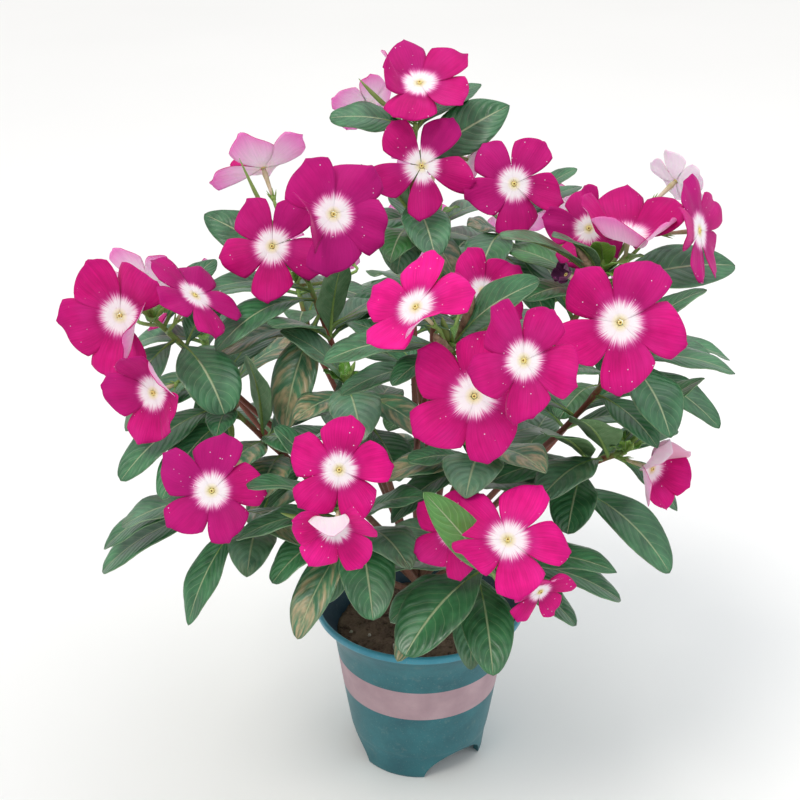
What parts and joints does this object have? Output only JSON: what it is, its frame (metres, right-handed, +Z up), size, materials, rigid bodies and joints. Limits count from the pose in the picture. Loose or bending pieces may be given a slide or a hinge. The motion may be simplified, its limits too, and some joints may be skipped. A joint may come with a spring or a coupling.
{
  "type": "potted periwinkle",
  "caption": "Flowering periwinkle plant with leafy branching shoots and five-petalled flowers, rooted in soil in a tapered nursery pot with a flared lip.",
  "frame": {"origin": "on the pot's axis at the level of its feet", "axes": "+Z up along the pot's axis, -Y towards the front of the plant, +X to the right seen from the front"},
  "size_m": [0.3739, 0.3781, 0.4497],
  "materials": {
    "pot_plastic": "satin moulded polypropylene, teal with a bluer lip and a plain mauve band",
    "potting_soil": "crumbly dark brown potting soil, matt",
    "stem_bark": "brown bark, matt",
    "leaf_green": "waxy green leaf with pale midrib and veins, satin",
    "petal_magenta": "soft magenta petals with a white eye and a yellow throat, matt with a slight sheen"
  },
  "bodies": {
    "root": {"flower_back_1": "petal_magenta", "flower_back_left_1": "petal_magenta", "flower_back_left_2": "petal_magenta", "flower_back_right_1": "petal_magenta", "flower_back_right_2": "petal_magenta", "flower_centre_1": "petal_magenta", "flower_centre_2": "petal_magenta", "flower_centre_3": "petal_magenta", "flower_centre_4": "petal_magenta", "flower_cut_back_1": "petal_magenta", "flower_front_1": "petal_magenta", "flower_front_2": "petal_magenta", "flower_front_3": "petal_magenta", "flower_front_left_1": "petal_magenta", "flower_front_left_2": "petal_magenta", "flower_left_1": "petal_magenta", "flower_left_2": "petal_magenta", "flower_left_3": "petal_magenta", "flower_left_side_1": "petal_magenta", "flower_lower_left_1": "petal_magenta", "flower_lower_right_1": "petal_magenta", "flower_right_1": "petal_magenta", "flower_right_side_1": "petal_magenta", "flower_top_1": "petal_magenta", "flower_top_2": "petal_magenta", "flower_top_3": "petal_magenta", "flower_top_4": "petal_magenta", "flower_upper_back_1": "petal_magenta", "flower_upper_left_1": "petal_magenta", "flower_upper_left_2": "petal_magenta", "flower_upper_left_3": "petal_magenta", "flower_upper_right_1": "petal_magenta", "flower_upper_right_2": "petal_magenta", "flower_upper_right_3": "petal_magenta", "flower_upper_right_4": "petal_magenta", "flower_upper_right_5": "petal_magenta", "flower_upper_right_of_centre_1": "petal_magenta", "main_stem": "stem_bark", "pot": "pot_plastic", "shoot_back": "leaf_green", "shoot_back_left": "leaf_green", "shoot_back_right": "leaf_green", "shoot_centre": "leaf_green", "shoot_cut_back": "leaf_green", "shoot_front": "leaf_green", "shoot_front_left": "leaf_green", "shoot_inner_left": "leaf_green", "shoot_left": "leaf_green", "shoot_left_side": "leaf_green", "shoot_lower_left": "leaf_green", "shoot_lower_right": "leaf_green", "shoot_middle": "leaf_green", "shoot_right": "leaf_green", "shoot_right_side": "leaf_green", "shoot_top": "leaf_green", "shoot_upper_back": "leaf_green", "shoot_upper_left": "leaf_green", "shoot_upper_right": "leaf_green", "shoot_upper_right_of_centre": "leaf_green", "soil": "potting_soil"}
  },
  "joints": []
}
